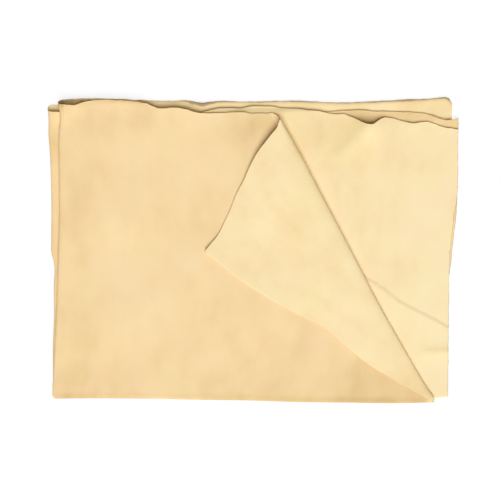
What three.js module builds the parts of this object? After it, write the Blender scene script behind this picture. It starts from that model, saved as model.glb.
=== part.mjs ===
// A chamois leather lying folded on a table: one skin, folded side to side, then end to end,
// with the back right corner of its top layer turned over.
// Millimetres, +Z up. The origin is on the table, under the middle of the folded pack.
// Left has the two side folds, front the two end folds, back and right the cut edges.

import * as THREE from "three";

// Size of the folded pack
const PACK_WIDTH = 362;
const PACK_DEPTH = 269;

// Leather and how its layers lie
const LEATHER = 1.0; // thickness
const LAYER_GAP = 0.3; // air between two layers that lie on each other
const SEAM_GAP = 0.3; // between two regions of the skin that meet at a fold

// Folds: the clear height inside a fold, and how far in from it the layers still stand open
const SIDE_FOLD_ROOM = 1.6;
const SIDE_FOLD_REACH = 32;
const END_FOLD_ROOM = 0.8;
const END_FOLD_REACH = 25;
const END_FOLD_SKEW = 3.8; // the end folds run further forward at the right by this
const INNER_FOLD_SETBACK = 4.4; // the inner end fold lies behind the outer one by this

// Turned corner: its crease runs from the back edge to the front right corner
const CREASE_BACK_FROM_RIGHT = 158.4;
const CREASE_BACK_FROM_BACK = 14.6;
const CREASE_FRONT_FROM_RIGHT = 20.2;
const CREASE_BOW = 3; // the crease bows towards the left by this
const CORNER_FROM_RIGHT = 22; // where the corner lay before it was turned
const CORNER_FROM_BACK = 25;
const ROLL_ROOM_BACK = 6.0; // clear height inside the roll at the back end of the crease
const ROLL_ROOM_FRONT = 1.2;
const FLAP_REACH = 62; // how far from the crease the turned corner still stands open
const FLAP_END_WIDTH = 3; // width of the turned corner at the two ends of its crease
const FLAP_EDGE_BOW = 4; // the turned edges bow outwards by this

// Where an edge stands up: layer, share of the width, distance from the back, height, radius
const BACK_LIFTS = [
  { layer: "top", along: 0.06, inset: 7.7, height: 2.6, radius: 10 },
  { layer: "second", along: 0.782, inset: 24.4, height: 3.4, radius: 9 },
];
const TIP_LIFT = { height: 2.0, radius: 12 };

// Back cut edges: share of the width from the left, distance from the back of the pack
const TOP_BACK_EDGE = [
  [0.03, 6.7],
  [0.06, 7.8],
  [0.1, 3.7],
  [0.14, 2.6],
  [0.22, 3.6],
  [0.27, 10],
  [0.31, 9.6],
  [0.37, 14.2],
  [0.48, 13.5],
  [0.562, CREASE_BACK_FROM_BACK],
];
const SECOND_BACK_EDGE = [
  [0.03, 6.7],
  [0.066, 10.2],
  [0.15, 8],
  [0.25, 11.5],
  [0.33, 14.6],
  [0.41, 10.1],
  [0.47, 9.9],
  [0.5, 8.1],
  [0.547, 8.2],
  [0.64, 11.8],
  [0.723, 15],
  [0.75, 19.4],
  [0.782, 24.4],
  [0.815, 18],
  [0.835, 18.6],
  [0.888, 23.1],
  [0.925, 21.8],
  [0.968, 26.8],
  [1, 28.2],
];
const THIRD_BACK_EDGE = [
  [0, 9.8],
  [0.01, 12.8],
  [0.03, 13.3],
  [0.25, 14.2],
  [0.49, 13.3],
  [0.766, 11.4],
  [0.876, 13],
  [0.968, 20],
  [1, 18.2],
];
const BOTTOM_BACK_EDGE = [
  [0, 6.7],
  [0.127, 4.9],
  [0.25, 3.2],
  [0.348, 3.9],
  [0.375, 6.2],
  [0.404, 4],
  [0.62, 3.3],
  [0.71, 5.5],
  [0.866, 3.3],
  [0.882, 1.8],
  [0.919, 1.8],
  [0.968, 0],
  [1, 0],
];

// Right cut edges and side folds: share of the depth from the front, distance from that side
const SECOND_RIGHT_EDGE = [
  [0, 9.7],
  [0.37, 9.7],
  [0.53, 8.8],
  [0.66, 4.8],
  [0.83, 1.1],
  [1, 0.9],
];
const THIRD_RIGHT_EDGE = [
  [0, 9.7],
  [0.14, 10.6],
  [0.38, 9.2],
  [0.53, 6.2],
  [0.66, 1.8],
  [0.83, 0.5],
  [1, 0],
];
const BOTTOM_RIGHT_EDGE = [
  [0, CREASE_FRONT_FROM_RIGHT],
  [0.34, 15.8],
  [0.66, 10.6],
  [0.93, 6.6],
  [1, 6.4],
];
const UPPER_SIDE_FOLD = [
  [0, 4.2],
  [0.21, 7.3],
  [0.375, 9.2],
  [0.53, 10.6],
  [1, 10.6],
];
const LOWER_SIDE_FOLD = [
  [0, 4.2],
  [0.3, 5.6],
  [0.5, 4.6],
  [0.66, 3.7],
  [0.87, 1.1],
  [1, 0],
];

const PEACH = "#f5d8a4"; // the skin's outer face
const CREAM = "#fbe4b2"; // its inner face
const NAP_ROUGHNESS = 0.95;

const LEFT = -PACK_WIDTH / 2;
const RIGHT = PACK_WIDTH / 2;
const FRONT = -PACK_DEPTH / 2;
const BACK = PACK_DEPTH / 2;
const PITCH = LEATHER + LAYER_GAP;
const HALF = LEATHER / 2;

const { lerp, smoothstep } = THREE.MathUtils;

// A smooth line through [place, value] pairs, as a function of the place
function lineThrough(pairs) {
  const places = pairs.map(([place]) => place);
  const values = pairs.map(([, value]) => value);
  const line = new THREE.CubicInterpolant(places, values, 1, [0]);
  return (place) => line.evaluate(place)[0];
}

// 1 at a fold, falling smoothly to 0 where the layers lie flat on each other
function openNear(distance, reach) {
  return 1 - smoothstep(distance, 0, reach);
}

const widthShare = (x) => (x - LEFT) / PACK_WIDTH;
const depthShare = (y) => (y - FRONT) / PACK_DEPTH;

// Section of a soft fold 1 mm high. It leaves level, turns over and comes back level, and it
// bends most at its nose. A share of the way round gives how far out and how far up it is.
const FOLD_SUMS = 60;
function walkRound(share) {
  let out = 0;
  let rise = 0;
  for (let step = 0; step < FOLD_SUMS; step += 1) {
    const angle = Math.PI * smoothstep(((step + 0.5) / FOLD_SUMS) * share, 0, 1);
    out += (Math.cos(angle) * share) / FOLD_SUMS;
    rise += (Math.sin(angle) * share) / FOLD_SUMS;
  }
  return { out, rise };
}
const WHOLE_RISE = walkRound(1).rise;
function roundFold(share) {
  const { out, rise } = walkRound(share);
  return { out: out / WHOLE_RISE, rise: rise / WHOLE_RISE };
}
const FOLD_NOSE = roundFold(0.5).out;

// Outlines seen from above
const upperFoldInset = lineThrough(UPPER_SIDE_FOLD);
const lowerFoldInset = lineThrough(LOWER_SIDE_FOLD);
const SIDE_RISE = LEATHER + SIDE_FOLD_ROOM;
const SIDE_SETBACK = FOLD_NOSE * SIDE_RISE + HALF;
const upperFoldX = (y) => LEFT + upperFoldInset(depthShare(y)) + SIDE_SETBACK;
const lowerFoldX = (y) => LEFT + lowerFoldInset(depthShare(y)) + SIDE_SETBACK;

const frontLine = (x) => FRONT + END_FOLD_SKEW * (1 - widthShare(x));
const INNER_END_RISE = LEATHER + END_FOLD_ROOM;
const INNER_SETBACK = INNER_FOLD_SETBACK + FOLD_NOSE * INNER_END_RISE + HALF;
const innerFrontY = (x) => frontLine(x) + INNER_SETBACK;
const outerFrontY = (x) => frontLine(x) + FOLD_NOSE * (topZ(x, FRONT) - BOTTOM_Z) + HALF;

function backLine(pairs) {
  const inset = lineThrough(pairs);
  return (x) => BACK - inset(widthShare(x));
}
function rightLine(pairs) {
  const inset = lineThrough(pairs);
  return (share) => RIGHT - inset(share);
}

// Heights of the middle of each layer. Every layer lies on the one below it.
const BOTTOM_Z = HALF;
function liftOf(layer, x, y) {
  let sum = 0;
  for (const lift of BACK_LIFTS.filter((one) => one.layer === layer)) {
    const across = x - lerp(LEFT, RIGHT, lift.along);
    const away = y - (BACK - lift.inset);
    sum += lift.height * Math.exp(-(across ** 2 + away ** 2) / (2 * lift.radius ** 2));
  }
  return sum;
}
function thirdZ(x, y) {
  const open = openNear(x - lowerFoldX(y), SIDE_FOLD_REACH);
  return BOTTOM_Z + PITCH + (SIDE_RISE - PITCH) * open;
}
function secondZ(x, y) {
  const open = openNear(y - innerFrontY(x), END_FOLD_REACH);
  return thirdZ(x, y) + PITCH + (INNER_END_RISE - PITCH) * open + liftOf("second", x, y);
}
function topZ(x, y) {
  const open = openNear(x - upperFoldX(y), SIDE_FOLD_REACH);
  return secondZ(x, y) + PITCH + (SIDE_RISE - PITCH) * open + liftOf("top", x, y);
}

// The crease of the turned corner, from the front (0) to the back (1)
const creaseFront = new THREE.Vector2(RIGHT - CREASE_FRONT_FROM_RIGHT, frontLine(RIGHT));
const creaseBack = new THREE.Vector2(RIGHT - CREASE_BACK_FROM_RIGHT, BACK - CREASE_BACK_FROM_BACK);
const creaseWay = creaseBack.clone().sub(creaseFront).normalize();
const creaseOut = new THREE.Vector2(creaseWay.y, -creaseWay.x);
const rollRise = (share) => LEATHER + lerp(ROLL_ROOM_FRONT, ROLL_ROOM_BACK, share);
function creaseX(share) {
  const bow = CREASE_BOW * Math.sin(Math.PI * share);
  const inwards = FOLD_NOSE * rollRise(share) + HALF;
  return lerp(creaseFront.x, creaseBack.x, share) - bow - inwards / creaseOut.x;
}

// A layer of the pack: across runs from left to right and along from front to back, both 0 to 1
function layer(leftX, rightX, frontY, backY, height) {
  return (across, along) => {
    const middle = lerp(FRONT, BACK, along);
    const x = lerp(leftX(middle), rightX(along), across);
    const y = lerp(frontY(x), backY(x), along);
    return new THREE.Vector3(x, y, height(x, y));
  };
}
const topLayer = layer(upperFoldX, creaseX, outerFrontY, backLine(TOP_BACK_EDGE), topZ);
const secondLayer = layer(
  upperFoldX,
  rightLine(SECOND_RIGHT_EDGE),
  innerFrontY,
  backLine(SECOND_BACK_EDGE),
  secondZ,
);
const thirdLayer = layer(
  lowerFoldX,
  rightLine(THIRD_RIGHT_EDGE),
  innerFrontY,
  backLine(THIRD_BACK_EDGE),
  thirdZ,
);
const bottomLayer = layer(
  lowerFoldX,
  rightLine(BOTTOM_RIGHT_EDGE),
  outerFrontY,
  backLine(BOTTOM_BACK_EDGE),
  () => BOTTOM_Z,
);

// A fold between two edges, one above the other, that noses out in one direction
function fold(lowEdge, highEdge, outwards) {
  return (round, along) => {
    const { out, rise } = roundFold(round);
    const low = lowEdge(along);
    const high = highEdge(along);
    const height = high.z - low.z;
    return low.lerp(high, rise).addScaledVector(outwards, out * height);
  };
}
const TO_LEFT = new THREE.Vector3(-1, 0, 0);
const TO_FRONT = new THREE.Vector3(0, -1, 0);
const leftEdge = (surface) => (along) => surface(0, along);
const frontEdge = (surface) => (across) => surface(across, 0);
const upperSideFold = fold(leftEdge(secondLayer), leftEdge(topLayer), TO_LEFT);
const lowerSideFold = fold(leftEdge(bottomLayer), leftEdge(thirdLayer), TO_LEFT);
const outerEndFold = fold(frontEdge(bottomLayer), frontEdge(topLayer), TO_FRONT);
const innerEndFold = fold(frontEdge(thirdLayer), frontEdge(secondLayer), TO_FRONT);

// Front left, where both folds meet: the side fold itself goes round the end fold
const foldedCorner = fold(
  (round) => lowerSideFold(1 - round, 0),
  (round) => upperSideFold(round, 0),
  TO_FRONT,
);

// Where the corner lay, and where it came to lie: mirrored in the crease
const oldCorner = new THREE.Vector2(RIGHT - CORNER_FROM_RIGHT, BACK - CORNER_FROM_BACK);
const fromFront = oldCorner.clone().sub(creaseFront);
const fromBack = oldCorner.clone().sub(creaseBack);
const tip = oldCorner.clone().addScaledVector(creaseOut, -2 * fromFront.dot(creaseOut));

// The cut edges cross the crease at a slant, so round the roll they run on along the crease
const creaseLength = creaseFront.distanceTo(creaseBack);
function slantAt(share, edge) {
  const roundRoll = rollRise(share) / WHOLE_RISE;
  return ((edge.dot(creaseWay) / edge.dot(creaseOut)) * roundRoll) / creaseLength;
}
const turnedFront = slantAt(0, fromFront);
const turnedBack = 1 + slantAt(1, fromBack);

// The roll along the crease, from the edge of the top layer to the edge of the turned corner
const creaseEdge = (along) => topLayer(1, along);
function turnedCrease(along) {
  const share = lerp(turnedFront, turnedBack, along);
  const place = creaseEdge(share);
  place.z += rollRise(share);
  return place;
}
const rollOut = new THREE.Vector3(creaseOut.x, creaseOut.y, 0);
const cornerRoll = fold(creaseEdge, turnedCrease, rollOut);

// Outer edge of the turned corner, from the front end of the crease over the tip to its back end
const TIP_AT = 0.75; // share of the crease's length that lies beside the edge up to the tip
function turnedEdge(along) {
  const end = along < TIP_AT ? 0 : 1;
  const share = Math.abs(along - end) / Math.abs(TIP_AT - end);
  const crease = turnedCrease(end);
  const start = new THREE.Vector2(crease.x, crease.y);
  start.addScaledVector(creaseOut, -FLAP_END_WIDTH);
  const way = tip.clone().sub(start).normalize();
  const bow = (end === 0 ? 1 : -1) * FLAP_EDGE_BOW * Math.sin(Math.PI * share);
  return start.lerp(tip, share).add(new THREE.Vector2(-way.y, way.x).multiplyScalar(bow));
}
function turnedCorner(across, along) {
  const crease = turnedCrease(along);
  const start = new THREE.Vector2(crease.x, crease.y);
  const edge = turnedEdge(along);
  const clear = SEAM_GAP / start.distanceTo(edge);
  const place = start.clone().lerp(edge, lerp(clear, 1, across));
  const open = openNear(place.distanceTo(start), FLAP_REACH);
  const lift = TIP_LIFT.height * Math.exp(-((place.distanceTo(tip) / TIP_LIFT.radius) ** 2) / 2);
  const rise = crease.z - topZ(crease.x, crease.y);
  const height = PITCH + (rise - PITCH) * open + lift;
  return new THREE.Vector3(place.x, place.y, topZ(place.x, place.y) + height);
}

// Draws a layer back from the folds on its left (u0), right (u1) and front (v0)
function clearOfFolds(surface, { u0 = 0, u1 = 0, v0 = 0 }) {
  const uGap = SEAM_GAP / surface(0, 0.5).distanceTo(surface(1, 0.5));
  const vGap = SEAM_GAP / surface(0.5, 0).distanceTo(surface(0.5, 1));
  return (u, v) => surface(lerp(u0 * uGap, 1 - u1 * uGap, u), lerp(v0 * vGap, 1, v));
}

// Direction square to a surface, from two short steps along it
const SHORT_STEP = 1e-3;
function squareTo(surface, u, v) {
  const uStep = u < 0.5 ? SHORT_STEP : -SHORT_STEP;
  const vStep = v < 0.5 ? SHORT_STEP : -SHORT_STEP;
  const here = surface(u, v);
  const alongU = surface(u + uStep, v).sub(here).divideScalar(uStep);
  const alongV = surface(u, v + vStep).sub(here).divideScalar(vStep);
  return alongU.cross(alongV).normalize();
}

// How steps are spread: evenly, or finer near the start, where a layer rises to its fold
const FINE_START_POWER = 1.3;
const even = (share) => share;
const fineStart = (share) => share ** FINE_START_POWER;

// A leaf of leather: a closed solid, half its thickness to each side of a surface
function leaf(name, surface, colour, { across, along, spreadU = even, spreadV = even }) {
  const faces = [];
  const places = [];
  const rows = along + 1;
  const count = (across + 1) * rows;
  for (const side of [HALF, -HALF]) {
    for (let i = 0; i <= across; i += 1) {
      for (let j = 0; j <= along; j += 1) {
        const u = spreadU(i / across);
        const v = spreadV(j / along);
        const place = surface(u, v).addScaledVector(squareTo(surface, u, v), side);
        places.push(place.x, place.y, place.z);
      }
    }
  }
  const quad = (a, b, c, d) => faces.push(a, b, c, a, c, d);
  for (let i = 0; i < across; i += 1) {
    for (let j = 0; j < along; j += 1) {
      const at = i * rows + j;
      quad(at, at + rows, at + rows + 1, at + 1);
      quad(count + at, count + at + 1, count + at + rows + 1, count + at + rows);
    }
  }
  const wall = (from, to) => quad(to, count + to, count + from, from);
  for (let i = 0; i < across; i += 1) {
    wall((i + 1) * rows, i * rows);
    wall(i * rows + along, (i + 1) * rows + along);
  }
  for (let j = 0; j < along; j += 1) {
    wall(j, j + 1);
    wall(across * rows + j + 1, across * rows + j);
  }
  const geometry = new THREE.BufferGeometry();
  geometry.setAttribute("position", new THREE.Float32BufferAttribute(places, 3));
  geometry.setIndex(faces);
  geometry.computeVertexNormals();
  const look = { color: colour, roughness: NAP_ROUGHNESS, metalness: 0, flatShading: true };
  const mesh = new THREE.Mesh(geometry, new THREE.MeshStandardMaterial(look));
  mesh.name = name;
  return mesh;
}

// Steps of each leaf. Leaves that meet have the same steps along the line where they meet.
const ACROSS_STEPS = 24;
const WAVY_EDGE_STEPS = 36;
const DEPTH_STEPS = 10;
const CREASE_STEPS = 20;
const FLAP_STEPS = 8;
const FOLD_STEPS = 6;
const layerSteps = (across) => ({ across, along: DEPTH_STEPS, spreadU: fineStart });
const sideSteps = { across: FOLD_STEPS, along: DEPTH_STEPS };
const endSteps = { across: FOLD_STEPS, along: ACROSS_STEPS, spreadV: fineStart };
const creaseSteps = (across) => ({ across, along: CREASE_STEPS });
const cornerSteps = { across: FOLD_STEPS, along: FOLD_STEPS };

const atFolds = { u0: 1, v0: 1 };
const atAllFolds = { u0: 1, u1: 1, v0: 1 };
const atStart = { v0: 1 };

const leaves = [
  ["bottom_panel", clearOfFolds(bottomLayer, atFolds), PEACH, layerSteps(ACROSS_STEPS)],
  ["third_panel", clearOfFolds(thirdLayer, atFolds), PEACH, layerSteps(ACROSS_STEPS)],
  ["second_panel", clearOfFolds(secondLayer, atFolds), CREAM, layerSteps(WAVY_EDGE_STEPS)],
  ["top_panel", clearOfFolds(topLayer, atAllFolds), PEACH, layerSteps(ACROSS_STEPS)],
  ["lower_side_fold", clearOfFolds(lowerSideFold, atStart), PEACH, sideSteps],
  ["upper_side_fold", clearOfFolds(upperSideFold, atStart), PEACH, sideSteps],
  ["outer_end_fold", clearOfFolds(outerEndFold, atStart), PEACH, endSteps],
  ["inner_end_fold", clearOfFolds(innerEndFold, atStart), CREAM, endSteps],
  ["folded_corner", foldedCorner, PEACH, cornerSteps],
  ["corner_roll", clearOfFolds(cornerRoll, atStart), CREAM, creaseSteps(FOLD_STEPS)],
  ["turned_corner", turnedCorner, CREAM, creaseSteps(FLAP_STEPS)],
];

const chamois = new THREE.Group();
chamois.name = "chamois_leather";
for (const [name, surface, colour, steps] of leaves) {
  chamois.add(leaf(name, surface, colour, steps));
}

export default chamois;
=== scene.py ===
# %% [markdown]
# # A folded chamois leather
# One oil-tanned skin lies on a table. It is folded side to side, then end to end, so it has four
# layers, and the back right corner of the top layer is turned over. Everything below is worked out
# in millimetres, as a leather worker would measure it, and turned to metres when a vertex is placed.

# %% Load the fixed frame
import bmesh
import bpy
import numpy as np
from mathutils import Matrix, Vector


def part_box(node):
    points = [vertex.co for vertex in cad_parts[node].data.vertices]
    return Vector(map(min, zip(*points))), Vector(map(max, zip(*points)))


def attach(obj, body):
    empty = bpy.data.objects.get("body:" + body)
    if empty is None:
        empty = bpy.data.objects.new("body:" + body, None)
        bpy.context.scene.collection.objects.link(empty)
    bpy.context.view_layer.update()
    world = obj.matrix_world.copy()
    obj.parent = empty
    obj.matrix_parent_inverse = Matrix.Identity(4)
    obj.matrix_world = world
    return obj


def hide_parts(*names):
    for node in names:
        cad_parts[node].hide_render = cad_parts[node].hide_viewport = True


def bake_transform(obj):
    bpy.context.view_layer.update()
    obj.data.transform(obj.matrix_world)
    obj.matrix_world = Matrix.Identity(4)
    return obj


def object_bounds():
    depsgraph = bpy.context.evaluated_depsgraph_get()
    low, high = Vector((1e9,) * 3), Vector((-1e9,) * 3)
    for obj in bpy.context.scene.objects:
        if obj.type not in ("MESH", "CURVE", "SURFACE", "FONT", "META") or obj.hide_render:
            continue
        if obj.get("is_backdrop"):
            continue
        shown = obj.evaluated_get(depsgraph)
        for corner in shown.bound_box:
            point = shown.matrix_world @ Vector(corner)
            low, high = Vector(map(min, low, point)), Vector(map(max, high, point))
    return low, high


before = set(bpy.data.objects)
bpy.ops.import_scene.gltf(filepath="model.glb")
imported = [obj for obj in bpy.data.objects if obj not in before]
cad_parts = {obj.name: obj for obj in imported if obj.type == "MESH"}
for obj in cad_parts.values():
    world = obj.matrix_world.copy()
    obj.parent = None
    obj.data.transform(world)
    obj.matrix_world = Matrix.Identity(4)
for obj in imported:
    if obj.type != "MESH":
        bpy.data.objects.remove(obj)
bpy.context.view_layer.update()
MM = 0.001

# %% [markdown]
# ## Camera
# The photograph looks straight down, so an orthographic camera would also do. A long lens on a
# perspective camera is chosen because it still shows a little depth when it looks from the side.
# A square picture that is 440 mm wide at the height of the top layer has the photograph's framing.

# %% Camera
VIEW_WIDTH = 440
VIEW_MIDDLE = (-3.0, -0.3)
VIEW_LEVEL = 5
LENS = 100
camera_data = bpy.data.cameras.new("overhead_camera")
camera_data.lens = LENS
camera = bpy.data.objects.new("overhead_camera", camera_data)
distance = VIEW_WIDTH / 2 / (camera_data.sensor_width / 2 / LENS)
camera.location = Vector((*VIEW_MIDDLE, VIEW_LEVEL + distance)) * MM
bpy.context.scene.collection.objects.link(camera)
bpy.context.scene.camera = camera
print("camera", round(distance), "mm above the leather")

# %% [markdown]
# ## Light and table
# The leather lay in even studio light that came mostly from the front. A sun lamp with a wide angle
# acts as one large, far softbox: it lights the whole skin alike, which a near area lamp would not.
# The world gives the rest of the light, a little warm, like light that comes back from the leather.
# The lamp adds what is missing to white, so a colour on a level surface looks about as it is
# written. The camera sees the table and the world as plain white, by Light Path, and the table keeps
# a faint part of the shadow.

# %% One function for shader nodes, one for colours
def add_node(tree, kind, inputs=None, **settings):
    made = tree.nodes.new(kind)
    for name, value in settings.items():
        setattr(made, name, value)
    for socket, value in (inputs or {}).items():
        if isinstance(value, bpy.types.NodeSocket):
            tree.links.new(value, made.inputs[socket])
        else:
            made.inputs[socket].default_value = value
    return made


def linear(hex_colour):
    """A hex colour in linear light, by the sRGB curve, with full alpha."""
    parts = [int(hex_colour[i : i + 2], 16) / 255 for i in (1, 3, 5)]
    return [p / 12.92 if p <= 0.04045 else ((p + 0.055) / 1.055) ** 2.4 for p in parts] + [1]


def seen_directly(tree):
    """1 for what the camera sees, also in a mirror or through glass, and 0 for light that lands."""
    path = add_node(tree, "ShaderNodeLightPath").outputs
    shiny = {0: path["Is Glossy Ray"], 1: path["Is Transmission Ray"]}
    other = add_node(tree, "ShaderNodeMath", shiny, operation="MAXIMUM").outputs[0]
    both = {0: path["Is Camera Ray"], 1: other}
    return add_node(tree, "ShaderNodeMath", both, operation="MAXIMUM").outputs[0]


print("half grey is", round(linear("#808080")[0], 3), "in linear light")

# %% Sun and world
LEVEL_LIGHT = 0.98
FILL = np.array((0.23, 0.195, 0.14))
KEY = LEVEL_LIGHT - FILL
SUN_FROM = Vector((0.12, -1.0, 1.4)).normalized()
SUN_ANGLE = 48
sun_data = bpy.data.lights.new("front_softbox", "SUN")
sun_data.angle = np.radians(SUN_ANGLE)
sun_data.energy = KEY.max() * np.pi / SUN_FROM.z
sun_data.color = KEY / KEY.max()
sun = bpy.data.objects.new("front_softbox", sun_data)
sun.rotation_euler = SUN_FROM.to_track_quat("Z", "Y").to_euler()
bpy.context.scene.collection.objects.link(sun)

world = bpy.data.worlds.new("studio")
bpy.context.scene.world = world
world.use_nodes = True
world.node_tree.nodes.clear()
studio = add_node(world.node_tree, "ShaderNodeBackground", {"Color": (*FILL, 1)})
white = add_node(world.node_tree, "ShaderNodeBackground", {"Color": (1, 1, 1, 1)})
sky = {0: seen_directly(world.node_tree), 1: studio.outputs[0], 2: white.outputs[0]}
sky = add_node(world.node_tree, "ShaderNodeMixShader", sky)
add_node(world.node_tree, "ShaderNodeOutputWorld", {"Surface": sky.outputs[0]})
bpy.context.scene.view_settings.view_transform = "Standard"
print("light on a level surface", LEVEL_LIGHT, "of it from the lamp", KEY)

# %% Table
TABLE_SIZE = 6000
TABLE_DROP = 0.2
SHADOW_PART = 0.2
# Just past 1, so that the table is plain white wherever no shadow falls
TABLE_WHITE = 1.01
table_paint = bpy.data.materials.new("white_table_paint")
table_paint.use_nodes = True
tree = table_paint.node_tree
tree.nodes.clear()
matt = add_node(tree, "ShaderNodeBsdfDiffuse", {"Color": linear("#e6e6e6")})
shaded = add_node(tree, "ShaderNodeBsdfDiffuse", {"Color": (SHADOW_PART,) * 3 + (1,)})
glow = add_node(tree, "ShaderNodeEmission", {"Strength": TABLE_WHITE - SHADOW_PART * LEVEL_LIGHT})
pale = add_node(tree, "ShaderNodeAddShader", {0: shaded.outputs[0], 1: glow.outputs[0]})
ground = {0: seen_directly(tree), 1: matt.outputs[0], 2: pale.outputs[0]}
ground = add_node(tree, "ShaderNodeMixShader", ground)
add_node(tree, "ShaderNodeOutputMaterial", {"Surface": ground.outputs[0]})

bm = bmesh.new()
bmesh.ops.create_grid(bm, x_segments=1, y_segments=1, size=TABLE_SIZE * MM / 2)
bmesh.ops.translate(bm, verts=bm.verts, vec=(0, 0, -TABLE_DROP * MM))
table_mesh = bpy.data.meshes.new("table")
bm.to_mesh(table_mesh)
bm.free()
table_mesh.materials.append(table_paint)
table = bpy.data.objects.new("table", table_mesh)
bpy.context.scene.collection.objects.link(table)
table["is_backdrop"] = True
print("table", TABLE_DROP, "mm below the leather, with", SHADOW_PART, "of the shadow")

# %% [markdown]
# ## Lines on the skin
# A hand-cut edge is a smooth line with small slips of the shears in it. Drawing it as a Bezier curve
# would also work, but a few measured points with a smooth line through them are easier to check
# against the photograph. All shapes below are functions of whole arrays of points, so one call
# gives every vertex of a layer.

# %% Smooth steps, smooth lines
def smooth(share):
    share = np.clip(share, 0, 1)
    return share * share * (3 - 2 * share)


def lerp(start, end, share):
    return start + (end - start) * share


def line_through(points):
    """A smooth line through (place, value) pairs, as a function of the place."""
    places, values = np.array(points, float).T
    slopes = np.gradient(values, places)

    def value(place):
        place = np.clip(place, places[0], places[-1])
        index = np.clip(np.searchsorted(places, place) - 1, 0, len(places) - 2)
        step = places[index + 1] - places[index]
        share = (place - places[index]) / step
        bend = slopes[index] * share * (1 - share) ** 2 - slopes[index + 1] * share**2 * (1 - share)
        return lerp(values[index], values[index + 1], smooth(share)) + bend * step

    return value


print("a smooth step is", round(smooth(0.1), 3), "high after a tenth of the way")

# %% The pack's depth and the leather's thickness, as in the CAD
PACK_DEPTH = 269
LEATHER = 1.0
HALF = LEATHER / 2
LAYER_GAP = 0.3
PITCH = LEATHER + LAYER_GAP
FRONT = -PACK_DEPTH / 2
BACK = PACK_DEPTH / 2
print("leather", LEATHER, "mm thick, a layer every", PITCH, "mm, from y", FRONT, "to", BACK)

# %% [markdown]
# ## Outlines from above
# Each list follows one line of the photograph: the cut back edges as (x, y), the cut right edges as
# (share of the way from front to back, x), the noses of the side folds as (y, x) and the nose of the
# end fold as (x, y). What the upper layers hide is a guess that keeps the hidden edges out of sight.

# %% Cut edges at the back
TOP_BACK_EDGE = [
    (-170.6, 127.8), (-162.7, 126.8), (-155.7, 127.0), (-150.8, 129.0), (-143.8, 130.9),
    (-136.0, 131.6), (-117.4, 131.3), (-101.6, 129.9), (-93.6, 128.3), (-88.4, 126.2),
    (-82.2, 124.3), (-68.6, 124.8), (-59.6, 123.5), (-51.9, 121.2), (-46.1, 120.3),
    (-32.9, 120.0), (-20.6, 120.7), (-8.0, 120.9), (-2.0, 119.8), (6.0, 120.0),
    (16.0, 120.2), (22.6, 119.9),
]
SECOND_BACK_EDGE = [
    (-170.6, 131.6), (-161.4, 132.6), (-152.6, 133.1), (-143.8, 133.3), (-135.0, 133.1),
    (-117.4, 132.8), (-104.2, 131.7), (-98.0, 130.2), (-92.0, 127.4), (-86.0, 124.8),
    (-80.0, 123.4), (-68.0, 123.6), (-60.0, 122.4), (-52.0, 120.2), (-46.1, 121.0),
    (-37.3, 122.8), (-31.0, 124.4), (-20.6, 124.8), (-9.6, 124.7), (-3.0, 126.3),
    (5.8, 126.5), (17.1, 126.3), (23.8, 124.9), (37.2, 124.3), (50.7, 122.7),
    (59.5, 121.8), (66.0, 120.3), (74.2, 119.5), (80.9, 119.3), (85.4, 117.3),
    (90.7, 115.0), (96.5, 111.7), (100.0, 110.4), (103.5, 110.2), (106.5, 111.4),
    (110.1, 114.1), (115.0, 116.3), (121.3, 115.9), (130.2, 113.7), (140.4, 111.4),
    (148.0, 112.5), (153.9, 112.6), (160.6, 110.4), (169.5, 107.7), (180.0, 106.2),
]
THIRD_BACK_EDGE = [
    (-181.0, 121.4), (-170.0, 121.2), (-60.0, 120.3), (67.4, 122.0), (83.2, 122.7),
    (96.4, 123.1), (105.6, 122.2), (125.3, 121.8), (136.0, 121.4), (149.2, 120.3),
    (157.0, 118.5), (162.9, 116.2), (169.0, 114.6), (175.0, 114.5), (181.0, 116.3),
]
BOTTOM_BACK_EDGE = [
    (-181.0, 127.8), (-135.0, 129.5), (-112.0, 131.8), (-100.0, 132.3), (-91.0, 131.7),
    (-80.0, 131.3), (-55.1, 131.2), (-45.2, 129.4), (-34.8, 130.9), (-11.8, 130.8),
    (5.8, 130.8), (23.8, 131.4), (44.0, 131.2), (65.6, 130.1), (76.2, 129.7),
    (85.4, 130.0), (107.8, 130.9), (120.0, 131.6), (138.2, 132.7), (151.6, 132.9),
    (165.0, 134.2), (170.0, 134.5), (173.2, 132.6), (175.4, 128.4),
]
back_edges = (TOP_BACK_EDGE, SECOND_BACK_EDGE, THIRD_BACK_EDGE, BOTTOM_BACK_EDGE)
print("points on the back edges", [len(edge) for edge in back_edges])

# %% Cut edges at the right, and the noses of the folds
SECOND_RIGHT_EDGE = [
    (0, 171.4), (0.126, 171.6), (0.23, 171.8), (0.335, 172.1), (0.388, 172.3),
    (0.473, 172.7), (0.515, 173.0), (0.564, 173.9), (0.613, 175.1), (0.646, 176.1),
    (0.695, 177.4), (0.718, 178.6), (0.744, 179.4), (0.89, 180.2), (1, 180.4),
]
THIRD_RIGHT_EDGE = [
    (0, 170.8), (0.13, 170.9), (0.25, 171.2), (0.388, 171.9), (0.44, 172.8),
    (0.492, 174.6), (0.545, 175.9), (0.597, 177.3), (0.65, 178.9), (0.702, 179.5),
    (0.75, 179.3), (0.88, 180.2), (1, 180.7),
]
BOTTOM_RIGHT_EDGE = [(0, 160.0), (0.34, 165.2), (0.66, 170.4), (0.93, 175.2), (1, 175.4)]
UPPER_SIDE_NOSE = [
    (-130.5, -177.5), (-77.7, -173.6), (-33.7, -171.8), (8.5, -170.5), (85.0, -170.4),
    (110.0, -170.2), (127.8, -168.7),
]
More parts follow.
